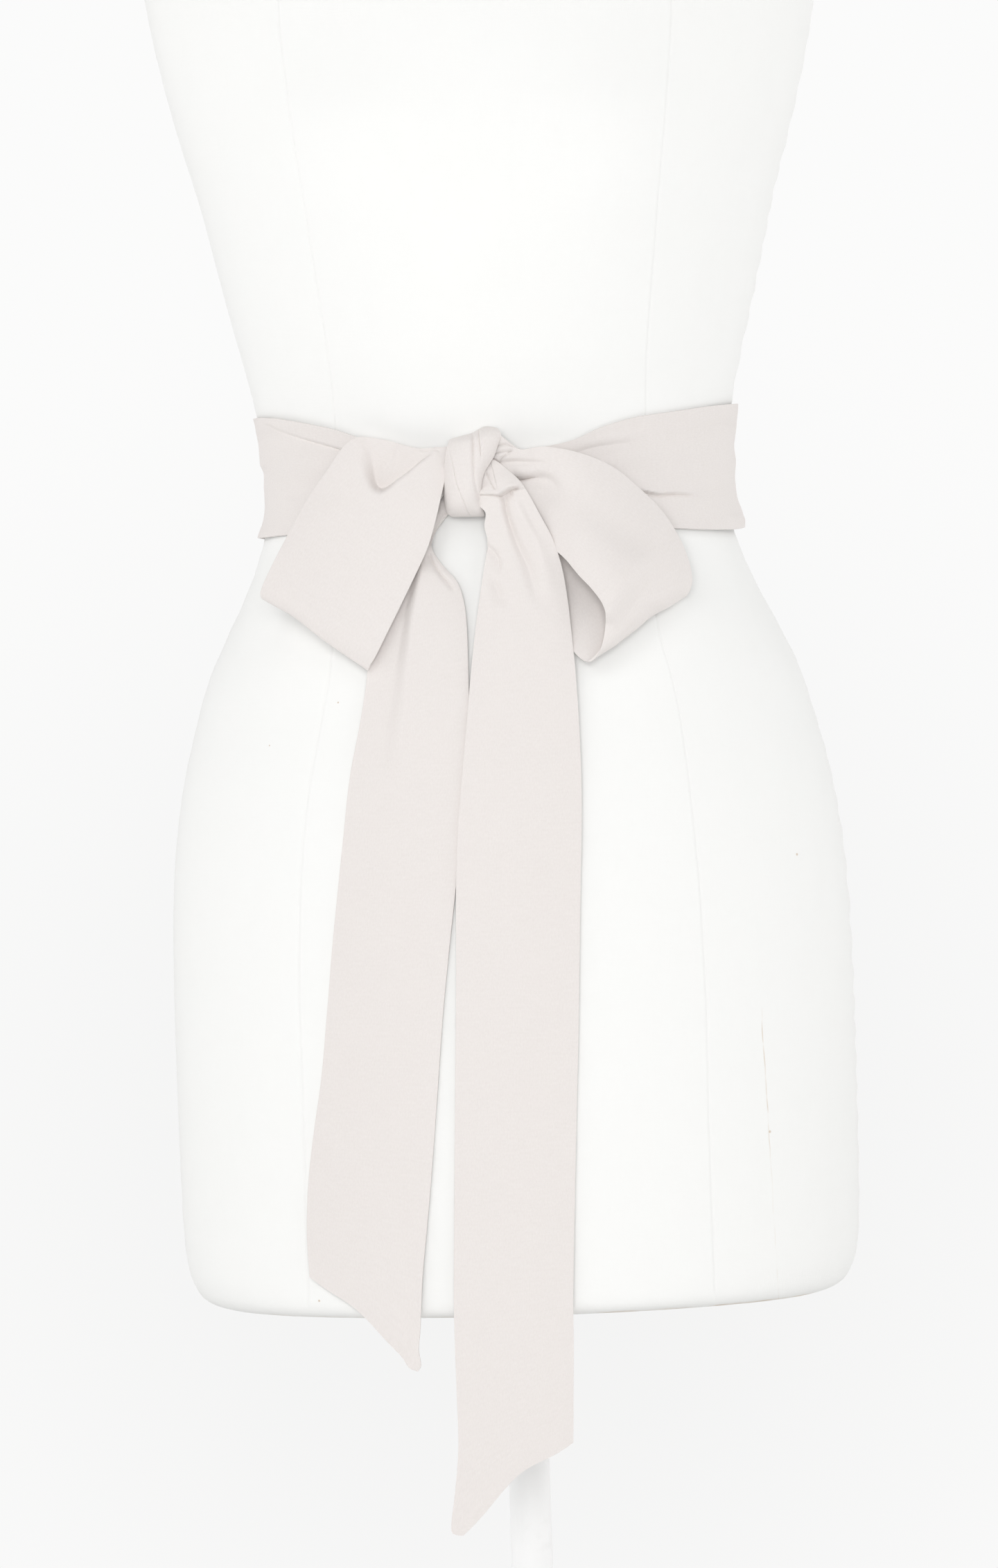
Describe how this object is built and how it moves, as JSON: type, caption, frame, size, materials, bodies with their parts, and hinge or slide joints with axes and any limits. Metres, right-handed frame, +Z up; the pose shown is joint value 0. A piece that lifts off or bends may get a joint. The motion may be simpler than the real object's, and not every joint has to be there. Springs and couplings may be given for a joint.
{
  "type": "satin sash on a dress form",
  "caption": "Narrow crepe satin sash tied in a soft bow with long slant-ended tails, round the waist of a limbless dress form on a pole and round base.",
  "frame": {"origin": "middle of the base's underside, on the pole's axis", "axes": "+Z up along the pole, -Y out of the form's front where the bow is, +X to the viewer's right"},
  "size_m": [0.373, 0.36, 1.505],
  "materials": {
    "crepe": "matt crepe side of a satin-back crepe, pale blush",
    "canvas": "white painted cloth cover stretched over the form",
    "enamel": "white enamel, semi-gloss"
  },
  "bodies": {
    "root": {"waist_wrap": "crepe", "knot_wrap": "crepe", "loop_left": "crepe", "loop_right": "crepe", "tail_left": "crepe", "tail_right": "crepe", "form_torso": "canvas", "form_pole": "enamel", "form_base": "enamel"}
  },
  "joints": []
}
